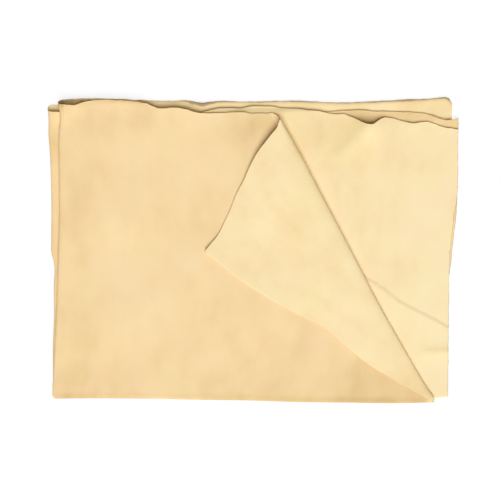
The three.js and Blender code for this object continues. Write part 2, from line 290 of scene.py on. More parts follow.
LOWER_SIDE_NOSE = [
    (-130.5, -177.5), (-113.0, -177.3), (-86.5, -177.0), (-65.0, -176.0), (-49.0, -176.0),
    (-30.0, -176.0), (-17.0, -175.4), (-9.0, -176.4), (-2.0, -178.2), (8.5, -178.3),
    (43.7, -178.2), (98.3, -179.9), (112.0, -180.8), (127.8, -179.6),
]
END_NOSE = [
    (-177.0, -131.2), (-150.0, -131.1), (-91.0, -131.4), (-47.0, -132.3), (5.8, -133.2),
    (28.0, -134.0), (85.0, -134.9), (129.0, -135.3), (160.7, -134.3), (172.0, -133.2),
    (181.0, -132.8),
]
upper_side_nose = line_through(UPPER_SIDE_NOSE)
lower_side_nose = line_through(LOWER_SIDE_NOSE)
end_nose = line_through(END_NOSE)
print("end fold noses out to y", min(y for _, y in END_NOSE))

# %% Slips of the shears
# How far they stray along a cut edge, and how far apart they are
SLIP = 0.32
SLIP_LENGTHS = (7.3, 11.9, 19.4, 33.0)


def cut_line(points, seed, run=1):
    """A cut edge. The run is how many millimetres one step of its places stands for."""
    line = line_through(points)

    def value(place):
        stray = [np.sin(2 * np.pi * place * run / step + seed * step) for step in SLIP_LENGTHS]
        return line(place) + SLIP * sum(stray) / len(stray)

    return value


top_back = cut_line(TOP_BACK_EDGE, seed=1)
second_back = cut_line(SECOND_BACK_EDGE, seed=2)
third_back = cut_line(THIRD_BACK_EDGE, seed=3)
bottom_back = cut_line(BOTTOM_BACK_EDGE, seed=4)
second_right = cut_line(SECOND_RIGHT_EDGE, seed=5, run=PACK_DEPTH)
third_right = cut_line(THIRD_RIGHT_EDGE, seed=6, run=PACK_DEPTH)
bottom_right = cut_line(BOTTOM_RIGHT_EDGE, seed=7, run=PACK_DEPTH)
print("seven cut edges that stray up to", SLIP, "mm")

# %% [markdown]
# ## The section of a soft fold
# Leather doesn't fold to a sharp line. Its section leaves level, bends most at the nose and comes
# back level. A half circle would be simpler, but it starts to bend all at once, and that shows as a
# line in the shading. Here the slope follows a smooth step, and the section is its running sum.

# %% Fold section
SECTION_STEPS = 480
section_share = np.linspace(0, 1, SECTION_STEPS + 1)
section_turn = np.pi * smooth((section_share[1:] + section_share[:-1]) / 2)
section_out = np.concatenate([[0], np.cumsum(np.cos(section_turn))])
section_rise = np.concatenate([[0], np.cumsum(np.sin(section_turn))])
FOLD_LENGTH = SECTION_STEPS / section_rise[-1]
section_out = section_out / section_rise[-1]
section_rise = section_rise / section_rise[-1]
FOLD_NOSE = section_out.max()


def fold_section(share):
    out = np.interp(share, section_share, section_out)
    return out, np.interp(share, section_share, section_rise)


print("a fold 1 mm high noses out", round(FOLD_NOSE, 3), "mm and is", round(FOLD_LENGTH, 3), "mm long")

# %% [markdown]
# ## How the layers lie
# Four limp layers could be dropped on each other by a cloth simulation. Instead each layer takes its
# height from the one below it: its own thickness, a little air, and more air beside a fold, where
# the leather stands open. Air is never less than nothing, so no layer cuts through the next. Soft
# swells, fluttering cut edges and a few lifts that the photograph shows are air too. Only where the
# third layer ends does the second one sag into the space that it leaves.

# %% Swells and lifts
SWELL_WAVES = 6
SWELL_SPREAD = (0.7, 1.4)
# A ridge may be a single point. Its squared length is then taken as this.
NO_LENGTH = 1e-6


def swell(x, y, length, seed):
    """Soft hills from 0 to 1 whose crests lie about this far apart."""
    draw = np.random.default_rng(seed)
    height = 0
    for _ in range(SWELL_WAVES):
        turn, start = draw.uniform(0, 2 * np.pi, 2)
        run = (x * np.cos(turn) + y * np.sin(turn)) * draw.uniform(*SWELL_SPREAD)
        height = height + np.sin(2 * np.pi * run / length + start)
    return 0.5 + 0.5 * height / SWELL_WAVES


def ridge(x, y, start, end, width):
    """1 along a line from start to end, falling softly to 0 beside it and past its ends."""
    (start_x, start_y), (end_x, end_y) = start, end
    run_x, run_y = end_x - start_x, end_y - start_y
    length = max(run_x**2 + run_y**2, NO_LENGTH)
    share = np.clip(((x - start_x) * run_x + (y - start_y) * run_y) / length, 0, 1)
    away = (x - start_x - share * run_x) ** 2 + (y - start_y - share * run_y) ** 2
    return np.exp(-away / (2 * width**2))


def lifts(x, y, rows):
    """The sum of ridges. A row is a ridge's start, end, half width and height."""
    return sum(height * ridge(x, y, start, end, width) for start, end, width, height in rows)


print("one half width away a ridge is", round(ridge(1, 0, (0, 0), (0, 0), 1), 2), "of its height")

# %% An old fold line of the second layer
# The leather in front of it lies a little higher
FOLD_LINE = [
    (90, -19), (101.2, -26.2), (106.7, -29.2), (113.8, -34.3), (121.6, -39.8),
    (125.6, -43.3), (135.0, -49.2), (146.0, -54.7), (156.2, -59.8), (172.0, -68.4),
]
FOLD_LINE_STEP = 0.95
FOLD_LINE_WIDTH = 1.1
FOLD_LINE_REACH = 22
FOLD_LINE_FADE = 12
fold_line = line_through(FOLD_LINE)


def pressed_fold(x, y):
    before = fold_line(x) - y
    step = smooth(before / FOLD_LINE_WIDTH + 0.5) * np.exp(-np.maximum(before, 0) / FOLD_LINE_REACH)
    return FOLD_LINE_STEP * step * smooth((x - FOLD_LINE[0][0]) / FOLD_LINE_FADE)


print("old fold line from", FOLD_LINE[0], "to", FOLD_LINE[-1])

# %% Air beside the folds
SIDE_FOLD_ROOM = 1.6
SIDE_FOLD_REACH = 32
SIDE_RISE = LEATHER + SIDE_FOLD_ROOM
SIDE_SETBACK = FOLD_NOSE * SIDE_RISE + HALF
PRESSED = 0.3
PRESSED_REACH = 70
END_FOLD_ROOM = 0.8
END_FOLD_REACH = 25
INNER_NOSE_SETBACK = 3.4
INNER_END_RISE = LEATHER + END_FOLD_ROOM
INNER_SETBACK = INNER_NOSE_SETBACK + FOLD_NOSE * INNER_END_RISE + HALF


def upper_fold_x(y):
    return upper_side_nose(y) + SIDE_SETBACK


def lower_fold_x(y):
    return lower_side_nose(y) + SIDE_SETBACK


def inner_front_y(x):
    return end_nose(x) + INNER_SETBACK


def open_near(distance, reach):
    return 1 - smooth(distance / reach)


def side_open(x, y, fold_x):
    """Air beside a side fold. At the front the end fold presses the side folds flat."""
    pressed = lerp(PRESSED, 1, smooth((y - FRONT) / PRESSED_REACH))
    return (SIDE_RISE - PITCH) * open_near(x - fold_x(y), SIDE_FOLD_REACH) * pressed


def end_open(x, y):
    return (INNER_END_RISE - PITCH) * open_near(y - inner_front_y(x), END_FOLD_REACH)


print("side folds", SIDE_RISE, "mm high, inner end fold", INNER_END_RISE)

# %% Air at the cut edges
FLUTTER = 0.8
FLUTTER_REACH = 14
FLUTTER_LENGTH = 52
FLUTTER_FROM_FRONT = 60
# Where the cut edges lie flat, as below the end of the roll: start, end, half width, share
FLAT_EDGES = [
    ((23, 118), (23, 118), 17, 1),
    ((58, 122), (72, 121), 8, 0.8),
    ((116, 118), (155, 116), 11, 0.9),
]


def from_edges(x, y, back, right):
    return np.minimum(back(x) - y, right((y - FRONT) / PACK_DEPTH) - x)


def flutter(x, y, inside, seed):
    near = np.exp(-np.maximum(inside, 0) / FLUTTER_REACH) * smooth((y - FRONT) / FLUTTER_FROM_FRONT)
    free = np.maximum(1 - lifts(x, y, FLAT_EDGES), 0)
    return FLUTTER * near * free * swell(x, y, FLUTTER_LENGTH, seed)


print("cut edges flutter up to", FLUTTER, "mm, within about", FLUTTER_REACH, "mm of the edge")

# %% Heights of the middle of the three lower layers
# How high the bottom layer's back edge curls: most a little way in, and less at the edge itself
CURL = [
    (-181, 0.2), (-110, 0.2), (-95, 0.2), (-74, 0.5), (-62, 0.5), (-52, 0.9), (-45, 1.9),
    (-38, 0.9), (-28, 0.5), (42, 0.5), (55, 0.5), (80, 0.55), (180, 0.65),
]
CURL_REACH = 3
CURL_AT_EDGE = 0.25
curl = line_through(CURL)
THIRD_SEED, SECOND_SEED = 12, 13
THIRD_LIFTS = [((-178, 121), (-172, 121), 7, 2.2), ((162, 116.5), (178, 115.2), 3.5, 1.0)]
SECOND_LIFTS = [
    ((102, 110.5), (102, 110.5), 7.5, 2.6),
    ((102, 110.5), (103, 96), 8, 1.2),
    ((102, 110.5), (104, 85), 9, 0.9),
    ((140, 111), (140, 111), 6, 0.9),
    ((98, 104), (77, 84), 5, 0.9),
    ((152, -91), (174, -90), 3.5, 0.6),
]
SAG = 1.1
SAG_REACH = 5
SAG_START = -45
SAG_START_REACH = 15


def bottom_z(x, y):
    inside = np.maximum(bottom_back(x) - y, 0) / CURL_REACH
    return HALF + curl(x) * (CURL_AT_EDGE + inside) * np.exp(1 - inside)


def third_z(x, y):
    inside = from_edges(x, y, third_back, third_right)
    air = side_open(x, y, lower_fold_x) + flutter(x, y, inside, THIRD_SEED) + lifts(x, y, THIRD_LIFTS)
    return bottom_z(x, y) + PITCH + air


def second_z(x, y):
    inside = from_edges(x, y, second_back, second_right)
    edge = flutter(x, y, inside, SECOND_SEED)
    air = end_open(x, y) + edge + pressed_fold(x, y) + lifts(x, y, SECOND_LIFTS)
    sag = SAG * smooth((y - third_back(x)) / SAG_REACH) * smooth((x - SAG_START) / SAG_START_REACH)
    return third_z(x, y) + PITCH + air - sag


print("heights at the middle", [round(float(z(0, 0)), 2) for z in (bottom_z, third_z, second_z)])

# %% [markdown]
# ## The crease of the turned corner
# The crease runs from the front right corner to the back edge. It is nearly straight, bows a little,
# and its roll is tight at the front and stands open at the back. The joint of the CAD lies about in
# the middle of that roll: what lies below it on one side comes to lie as far above it on the other,
# so the corner opens to about the level of the top layer.

# %% Crease
CREASE_FRONT = np.array([160.8, -133.4])
CREASE_BACK = np.array([22.6, 119.9])
CREASE_BOW = [
    (0, 1.4), (0.03, 2.5), (0.067, 3.0), (0.178, 3.7), (0.27, 4.2), (0.345, 4.2), (0.43, 3.6),
    (0.512, 3.0), (0.6, 2.5), (0.679, 2.2), (0.79, 1.4), (0.9, 1.2), (1, 1.6),
]
ROLL_ROOM_FRONT = 1.2
ROLL_ROOM_BACK = 6.0
crease_length = np.linalg.norm(CREASE_BACK - CREASE_FRONT)
crease_way = (CREASE_BACK - CREASE_FRONT) / crease_length
crease_out = np.array([crease_way[1], -crease_way[0]])
crease_bow = line_through(CREASE_BOW)


def roll_rise(share):
    return LEATHER + lerp(ROLL_ROOM_FRONT, ROLL_ROOM_BACK, share)


def crease_x(share):
    inwards = FOLD_NOSE * roll_rise(share) + HALF
    return lerp(CREASE_FRONT[0], CREASE_BACK[0], share) - (crease_bow(share) + inwards) / crease_out[0]


print("crease", round(crease_length), "mm long")

# %% Height of the middle of the top layer
SWELL_HEIGHT = 1.6
SWELL_LENGTH = 84
CALM_REACH = 70
TOP_SEED, TOP_EDGE_SEED = 14, 15
TOP_LIFTS = [((-163, 128), (-156, 128), 6, 2.7)]


def top_z(x, y):
    """The top layer swells most in its middle, and lies calm at the end fold and at the crease."""
    from_crease = -((x - CREASE_FRONT[0]) * crease_out[0] + (y - CREASE_FRONT[1]) * crease_out[1])
    calm = smooth(from_crease / CALM_REACH) * smooth((y - FRONT) / CALM_REACH)
    air = SWELL_HEIGHT * calm * swell(x, y, SWELL_LENGTH, TOP_SEED) + side_open(x, y, upper_fold_x)
    edge = flutter(x, y, top_back(x) - y, TOP_EDGE_SEED) * smooth(from_crease / CALM_REACH)
    return second_z(x, y) + PITCH + air + edge + lifts(x, y, TOP_LIFTS)


def outer_front_y(x):
    return end_nose(x) + FOLD_NOSE * (top_z(x, FRONT) - bottom_z(x, FRONT)) + HALF


print("top layer at the middle", round(float(top_z(0, 0)), 2), "mm")

# %% [markdown]
# ## Layers and folds as surfaces
# A surface here gives, for two shares from 0 to 1, a place in space and the place on the flat skin
# that it was cut from. The place on the skin lets the leather's clouds run on round every fold. A
# layer is a sheet between four lines. A fold runs from one edge to the edge above it and noses out.

# %% Layers
# About how high the outer end fold is, for the places on the flat skin
OUTER_END_RISE = 4.4
SIDE_ARC = FOLD_LENGTH * SIDE_RISE
OUTER_ARC = FOLD_LENGTH * OUTER_END_RISE
INNER_ARC = FOLD_LENGTH * INNER_END_RISE


def layer(left_x, right_x, front_y, back_y, height, end_arc, side_turn, end_turn):
    def surface(across, along):
        middle = lerp(FRONT, BACK, along)
        x = lerp(left_x(middle), right_x(along), across)
        y = lerp(front_y(x), back_y(x), along)
        skin_x = side_turn * (x - left_x(middle) + SIDE_ARC / 2)
        skin_y = end_turn * (y - front_y(x) + end_arc / 2)
        return np.stack([x, y, height(x, y), skin_x, skin_y], -1)

    return surface


top_layer = layer(upper_fold_x, crease_x, outer_front_y, top_back, top_z, OUTER_ARC, 1, 1)
second_layer = layer(
    upper_fold_x, second_right, inner_front_y, second_back, second_z, INNER_ARC, -1, 1,
)
third_layer = layer(lower_fold_x, third_right, inner_front_y, third_back, third_z, INNER_ARC, -1, -1)
bottom_layer = layer(
    lower_fold_x, bottom_right, outer_front_y, bottom_back, bottom_z, OUTER_ARC, 1, -1,
)
print("leather round the outer end fold", round(OUTER_ARC, 1), "mm, the inner", round(INNER_ARC, 1))


# %% Folds
def fold(low_edge, high_edge, outwards):
    """A fold between two edges, one above the other. Its first share goes round the fold."""

    def surface(round_it, along):
        out, rise = fold_section(round_it)
        low, high = low_edge(along), high_edge(along)
        height = high[..., 2] - low[..., 2]
        place = lerp(low[..., :3], high[..., :3], rise[..., None])
        place = place + (out * height)[..., None] * np.array(outwards)
        skin = lerp(low[..., 3:], high[..., 3:], round_it[..., None])
        return np.concatenate([place, skin], -1)

    return surface


def left_edge(surface):
    return lambda along: surface(np.zeros_like(along), along)


def front_edge(surface):
    return lambda across: surface(across, np.zeros_like(across))


TO_LEFT = (-1, 0, 0)
TO_FRONT = (0, -1, 0)
upper_side_fold = fold(left_edge(second_layer), left_edge(top_layer), TO_LEFT)
lower_side_fold = fold(left_edge(bottom_layer), left_edge(third_layer), TO_LEFT)
outer_end_fold = fold(front_edge(bottom_layer), front_edge(top_layer), TO_FRONT)
inner_end_fold = fold(front_edge(third_layer), front_edge(second_layer), TO_FRONT)
folded_corner = fold(
    lambda round_it: lower_side_fold(1 - round_it, np.zeros_like(round_it)),
    lambda round_it: upper_side_fold(round_it, np.zeros_like(round_it)),
    TO_FRONT,
)
half_way = np.array([0.5])
for name, surface in (("upper", upper_side_fold), ("lower", lower_side_fold)):
    print(name, "side fold's nose at", surface(half_way, half_way)[0, :3].round(1))

# %% [markdown]
# ## The turned corner
# The corner was turned by hand: the skin goes round the roll and lies back on itself. On the flat
# skin its places are mirrored in the crease. Its two cut edges wander a little, as in the photograph,
# and its tip stands up. Near the crease it still stands as high as the roll.

# %% Roll
# How far the cut edges run on along the crease as they go round the roll
RUN_ON_FRONT = -2.6
RUN_ON_BACK = 9.5
RUN_ON_PACE = 1.35
# How far the turned corner's rounded shoulder lies back from the foot of the roll
SHOULDER = [(0, 2.0), (0.12, 5.0), (0.5, 6.5), (0.8, 6.0), (0.9, 3.0), (0.967, -4.0), (1, -4.0)]
shoulder = line_through(SHOULDER)


def corner_roll(round_it, along):
    out, rise = fold_section(round_it)
    turned = lerp(RUN_ON_FRONT, crease_length - RUN_ON_BACK, along) / crease_length
    share = lerp(along, turned, smooth(round_it * RUN_ON_PACE))
    made = top_layer(np.ones_like(share), share)
    height = roll_rise(share)
    nose = FOLD_NOSE * height
    wider = np.where(round_it > 0.5, 1 + shoulder(share) / nose, 1)
    away = nose - (nose - out * height) * wider
    made[..., :2] += away[..., None] * crease_out
    made[..., 2] += rise * height
    made[..., 3:] += (round_it * height * FOLD_LENGTH)[..., None] * crease_out
    return made


print("roll", roll_rise(0), "mm high at the front,", roll_rise(1), "mm at the back")

# %% Cut edges of the turned corner
TURNED_TIP = (-43.5, -2.0)
FLAP_FRONT_EDGE = [
    (153.8, -131.6), (149.6, -129.4), (142.8, -126.2), (138.0, -122.9), (129.4, -118.2),
    (122.7, -113.9), (111.4, -107.4), (106.1, -104.1), (88.5, -90.9), (77.1, -81.2),
    (65.6, -70.4), (52.0, -63.0), (39.2, -56.6), (27.8, -50.4), (-7.4, -29.3), TURNED_TIP,
]
FLAP_BACK_EDGE = [
    (21.9, 111.2), (20.5, 107.0), (15.9, 101.4), (10.1, 94.0), (5.8, 88.6), (-3.7, 71.9),
    (-8.3, 61.3), (-14.1, 50.8), (-21.2, 33.5), (-26.1, 23.1), (-31.1, 13.2), (-36.0, 7.0),
    TURNED_TIP,
]
TIP_AT = 0.75


def path_through(points):
    """A smooth path through points, as a function of the share of its length."""
    points = np.array(points, float)
    run = np.concatenate([[0], np.cumsum(np.linalg.norm(np.diff(points, axis=0), axis=1))])
    lines = [line_through(list(zip(run / run[-1], values))) for values in points.T]
    return lambda share: np.stack([line(share) for line in lines], -1)


flap_front_edge = path_through(FLAP_FRONT_EDGE)
flap_back_edge = path_through(FLAP_BACK_EDGE)


def turned_edge(along):
    """Cut edge of the turned corner, from the front end of the crease over its tip to the back."""
    front = flap_front_edge(along / TIP_AT)
    back = flap_back_edge((1 - along) / (1 - TIP_AT))
    return np.where((along < TIP_AT)[..., None], front, back)


tip = np.array(TURNED_TIP)
old_corner = tip - 2 * np.dot(tip - CREASE_FRONT, crease_out) * crease_out
print("turned corner's tip lay at", old_corner.round(1))

# %% Turned corner
FLAP_LIFTS = [(TURNED_TIP, TURNED_TIP, 12, 1.5)]
FLAP_REACH = 62


def turned_corner(across, along):
    crease = corner_roll(np.ones_like(along), along)
    start = crease[..., :2]
    way = (turned_edge(along) - start) * across[..., None]
    x, y = np.moveaxis(start + way, -1, 0)
    near = open_near(np.linalg.norm(way, axis=-1), FLAP_REACH)
    rise = crease[..., 2] - top_z(start[..., 0], start[..., 1])
    height = PITCH + (rise - PITCH) * near + lifts(x, y, FLAP_LIFTS)
    mirrored = way - 2 * (way @ crease_out)[..., None] * crease_out
    place = np.stack([x, y, top_z(x, y) + height], -1)
    return np.concatenate([place, crease[..., 3:] + mirrored], -1)


tip_height = turned_corner(np.array([1.0]), np.array([TIP_AT]))[0, 2]
print("turned corner's tip is at a height of", round(tip_height, 1), "mm")

# %% [markdown]
# ## Materials
# Chamois is sheepskin tanned with fish oil and buffed on both faces to a short nap. The nap scatters
# light, so both faces are matt with a faint sheen. Strokes of the hand lay the nap this way and that,
# which gives soft clouds. The outer face is peach and the inner one cream. A picture of leather could
# be laid on instead, but it would show its edges. These patterns are noise that reads the place on
# the flat skin, so they follow the leather and run on round every fold.

# %% The leather's patterns
# Each pattern's size in millimetres, and its detail. Real nap is about 0.3 mm long. It is drawn
# coarser so that it shows at this size.
PATTERNS = {"clouds": (42, 3), "strokes": (15, 2), "nap": (1.5, 2), "hue": (30, 1)}
STROKE_STRETCH = (1, 0.6, 1)


def leather_patterns(tree, seed):
    place = add_node(tree, "ShaderNodeAttribute", attribute_name="skin_place").outputs["Vector"]
    stretch = {"Vector": place, "Scale": STROKE_STRETCH}
    long_way = add_node(tree, "ShaderNodeMapping", stretch).outputs[0]
    patterns = {}
    for step, (kind, (size, detail)) in enumerate(PATTERNS.items()):
        where = long_way if kind == "strokes" else place
        inputs = {"Vector": where, "W": seed + step, "Scale": 1 / (size * MM), "Detail": detail}
        noise = add_node(tree, "ShaderNodeTexNoise", inputs, noise_dimensions="4D")
        patterns[kind] = noise.outputs["Fac"]
    return patterns


print("patterns in mm", {kind: size for kind, (size, _) in PATTERNS.items()})

# %% The leather's colour
STROKE_SHARE = 0.42
NAP_SHARE = 0.12
WEAR_AND_SHADE_DEPTH = 0.2
TONES = (0, 0.1, 0.3, 0.5, 0.7)
HUES = ("#fff9fc", "#fdfff5")


def leather_colour(tree, patterns, colours):
    """Clouds, strokes and nap make a tone, worn places and painted shade shift it, and the tone picks
    the colour.
    """
    tone = {0: STROKE_SHARE, 2: patterns["clouds"], 3: patterns["strokes"]}
    tone = add_node(tree, "ShaderNodeMix", tone).outputs[0]
    tone = {0: NAP_SHARE, 2: tone, 3: patterns["nap"]}
    tone = add_node(tree, "ShaderNodeMix", tone).outputs[0]
    # The tone attribute holds worn places and painted shade at rims, gaps and slopes.
    wear_and_shade = add_node(tree, "ShaderNodeAttribute", attribute_name="tone").outputs["Fac"]
    tone = {0: wear_and_shade, 1: WEAR_AND_SHADE_DEPTH, 2: tone}
    tone = add_node(tree, "ShaderNodeMath", tone, operation="MULTIPLY_ADD").outputs[0]
    ramp = add_node(tree, "ShaderNodeValToRGB", {"Fac": tone})
    stops = ramp.color_ramp.elements
    stops[0].color, stops[1].color = linear(colours[0]), linear(colours[-1])
    stops[0].position, stops[1].position = TONES[0], TONES[-1]
    for position, colour in zip(TONES[1:-1], colours[1:-1]):
        stops.new(position).color = linear(colour)
    hue = {0: patterns["hue"], 6: linear(HUES[0]), 7: linear(HUES[1])}
    hue = add_node(tree, "ShaderNodeMix", hue, data_type="RGBA").outputs[2]
    both = {0: 1.0, 6: ramp.outputs[0], 7: hue}
    tinted = add_node(tree, "ShaderNodeMix", both, data_type="RGBA", blend_type="MULTIPLY")
    return tinted.outputs[2]


print("tones at", TONES, "and one step of wear is", WEAR_AND_SHADE_DEPTH)

# %% Chamois
NAP_HEIGHT = 0.16 * MM
NAP_STRENGTH = 0.6


def chamois(name, colours, seed):
    material = bpy.data.materials.new(name)
    material.use_nodes = True
    tree = material.node_tree
    tree.nodes.clear()
    patterns = leather_patterns(tree, seed)
    colour = leather_colour(tree, patterns, colours)
    bump = {"Strength": NAP_STRENGTH, "Distance": NAP_HEIGHT, "Height": patterns["nap"]}
    bump = add_node(tree, "ShaderNodeBump", bump).outputs[0]
    finish = {"Base Color": colour, "Normal": bump, "Roughness": 0.92, "IOR": 1.5}
    finish |= {"Specular IOR Level": 0.15, "Sheen Weight": 0.08, "Sheen Roughness": 0.6}
    finish |= {"Sheen Tint": linear("#ffeccb")}
    shader = add_node(tree, "ShaderNodeBsdfPrincipled", finish)
    add_node(tree, "ShaderNodeOutputMaterial", {"Surface": shader.outputs[0]})
    return material


# Each face: darkest, darker, deep, middle and pale. The two darkest are reached almost only where
# shade is painted, at rims and in gaps.
OUTER_TONES = ("#d6b781", "#dfc08a", "#efd19c", "#f9dcaa", "#fde2b3")
INNER_TONES = ("#b9a27b", "#e9cc97", "#f7deaa", "#fee9ba", "#ffedc2")
# The cut edge is darker than the faces: partly the cut fibres, partly painted shade for the dark lines
# along the edges.
CUT_TONES = ("#c19f67", "#cba970", "#d8b880", "#e2c590", "#ebd2a2")
outer_face = chamois("chamois_outer_nap", OUTER_TONES, seed=3.0)
inner_face = chamois("chamois_inner_nap", INNER_TONES, seed=17.0)
cut_edge = chamois("chamois_cut_fibre", CUT_TONES, seed=29.0)
print("materials", [material.name for material in (outer_face, inner_face, cut_edge)])

# %% [markdown]
# ## From surface to leather
# A Solidify modifier could give the surface its thickness, but it takes its directions from each
# piece alone, so two pieces that meet would part by a hair. Here a grid is laid on the surface, its
# vertices move half the thickness along the surface's own direction, and an extruded copy goes the
# other way. Only the cut edges are rounded by a bevel. Where pieces of the skin meet, the edges stay
# sharp and lie on each other.

# %% Directions and steps on a surface
SHORT_STEP = 1e-4
FINER_POWER = 1.5
MIDDLE_PULL = 0.13


def square_to(surface, u, v, here):
    u_step = np.where(u < 0.5, SHORT_STEP, -SHORT_STEP)
    v_step = np.where(v < 0.5, SHORT_STEP, -SHORT_STEP)
    along_u = (surface(u + u_step, v)[:, :3] - here) / u_step[:, None]
    along_v = (surface(u, v + v_step)[:, :3] - here) / v_step[:, None]
    square = np.cross(along_u, along_v)
    return square / np.linalg.norm(square, axis=1)[:, None]


def evenly(share):
    return share


def finer_far(share):
    return 1 - (1 - share) ** FINER_POWER


def finer_middle(share):
    return share + MIDDLE_PULL * np.sin(2 * np.pi * share)


print("the last of ten steps is", round(1 - finer_far(0.9), 3), "of the way where they are finer")

# %% A grid on the surface
# A bit for each side of a grid. The left side, bit 1, is never cut.
RIGHT_SIDE, FRONT_SIDE, BACK_SIDE = 2, 4, 8
ON_BORDER = 1e-5


def lay_grid(bm, surface, columns, rows, spread, patches):
    """Half the thickness above the surface. A vertex keeps its place on the flat skin and its tone."""
    skin_place = bm.verts.layers.float_vector.new("skin_place")
    square_way = bm.verts.layers.float_vector.new("square_way")
    border = bm.verts.layers.int.new("border")
    tone = bm.verts.layers.float.new("tone")
    grid = bmesh.ops.create_grid(bm, x_segments=columns, y_segments=rows, size=0.5)["verts"]
    share = np.array([vert.co for vert in grid])[:, :2] + 0.5
    from_start, from_end = share < ON_BORDER, share > 1 - ON_BORDER
    sides = (from_start[:, 0], from_end[:, 0], from_start[:, 1], from_end[:, 1])
    marks = sum(side.astype(int) << bit for bit, side in enumerate(sides))
    share = np.clip(share, 0, 1)
    across, along = (way(places) for way, places in zip(spread, share.T))
    made = surface(across, along)
    square = square_to(surface, across, along, made[:, :3])
    tones = np.zeros(len(grid)) + lifts(made[:, 0], made[:, 1], patches)
    for vert, point, way, mark, shade in zip(grid, made, square, marks, tones):
        vert[tone] = shade
        vert.co = (point[:3] + HALF * way) * MM
        vert[skin_place] = (*point[3:] * MM, 0)
        vert[square_way] = way
        vert[border] = int(mark)


# %% Thickness and cut edges
OUTER, INNER, CUT = 0, 1, 2
EDGE_ROUND = 0.2


def thicken(bm):
    """Extrude a copy of the grid to the other side. Gives the upper and the lower faces."""
    square_way = bm.verts.layers.float_vector["square_way"]
    upper = set(bm.faces)
    copied = bmesh.ops.extrude_face_region(bm, geom=list(bm.faces), use_keep_orig=True)["geom"]
    lower = {item for item in copied if isinstance(item, bmesh.types.BMFace)}
    for vert in (item for item in copied if isinstance(item, bmesh.types.BMVert)):
        vert.co -= vert[square_way] * LEATHER * MM
    bmesh.ops.recalc_face_normals(bm, faces=bm.faces)
    return upper, lower


def finish_faces(bm, upper, lower, over, cut):
    """Give each face its material, round the cut sides, and keep the other sides sharp."""
    border = bm.verts.layers.int["border"]
    sheets = upper | lower
    rounded = []
    for face in bm.faces:
        face.smooth = True
        face.material_index = over if face in upper else 1 - over
        if face in sheets:
            continue
        face.material_index = CUT
        common = cut
        for vert in face.verts:
            common &= vert[border]
        for edge in face.edges:
            if sheets.isdisjoint(edge.link_faces):
                continue
            if common:
                rounded.append(edge)
            else:
                edge.smooth = False
    if rounded:
        bmesh.ops.bevel(
            bm, geom=rounded, offset=EDGE_ROUND * MM, offset_type="OFFSET", affect="EDGES",
            segments=2, profile=0.5, material=-1,
        )


# %% A leaf of leather
def leaf(name, surface, columns, rows, over, cut, spread, patches):
    bm = bmesh.new()
    lay_grid(bm, surface, columns, rows, spread, patches)
    upper, lower = thicken(bm)
    finish_faces(bm, upper, lower, over, cut)
    mesh = bpy.data.meshes.new(name)
    bm.to_mesh(mesh)
    bm.free()
    mesh.attributes.remove(mesh.attributes["square_way"])
    mesh.attributes.remove(mesh.attributes["border"])
    for material in (outer_face, inner_face, cut_edge):
        mesh.materials.append(material)
    piece = bpy.data.objects.new(name, mesh)
    bpy.context.scene.collection.objects.link(piece)
    print(name, len(mesh.polygons), "faces")
    return piece


# %% [markdown]
# ## Tone and painted shade
# Worn and clean places deepen or lighten the colour a little, at random. Many of the deep patches are
# painted shade instead: they darken rims, gaps and slopes where shade falls. A tone could be painted
# on an image. Here each vertex gets a tone, which its material adds to the clouds, so a few rows of
# numbers say where it is. Pieces that meet where it shows share the rows.

# %% A rim of painted shade
# It starts where the edge comes into sight. Two rows that end this many half widths from a point
# add up to one there, so the rim is even.
RIM_START = -95
RIM_JOIN = 1.18


def rim(edge, width, tone):
    points = [np.array(point) for point in edge if point[0] > RIM_START]
    rows = []
    for start, end in zip(points, points[1:]):
        inwards = RIM_JOIN * width * (end - start) / np.linalg.norm(end - start)
        rows.append((start + inwards, end - inwards, width, tone))
    return rows


# Painted shade along the bottom layer's far edge, which turns down away from the lamp.
FAR_RIM_SHADE = rim(BOTTOM_BACK_EDGE, width=1.1, tone=-1.8)
print("rows of the far rim", len(FAR_RIM_SHADE))

# %% Worn, pale and painted shade patches
# Start, end, half width and tone of each, deeper below 0 and paler above
# The first row is painted shade on the front rim, whose rounded nose faces the lamp. The second
# deepens the tone at the front right.
FRONT_SHADE_AND_TONE = [((-178, -130.8), (150, -135.5), 2.5, -1.9), ((105, -120), (150, -130), 22, -1.2)]
# The first row is painted shade on the slope in front of the lifted back left corner, which faces the
# lamp. The second darkens the front left.
LEFT_SHADE_AND_TONE = [((-164, 118), (-146, 116), 11, -1.0), ((-164, -130), (-156, -85), 13, -0.7)]
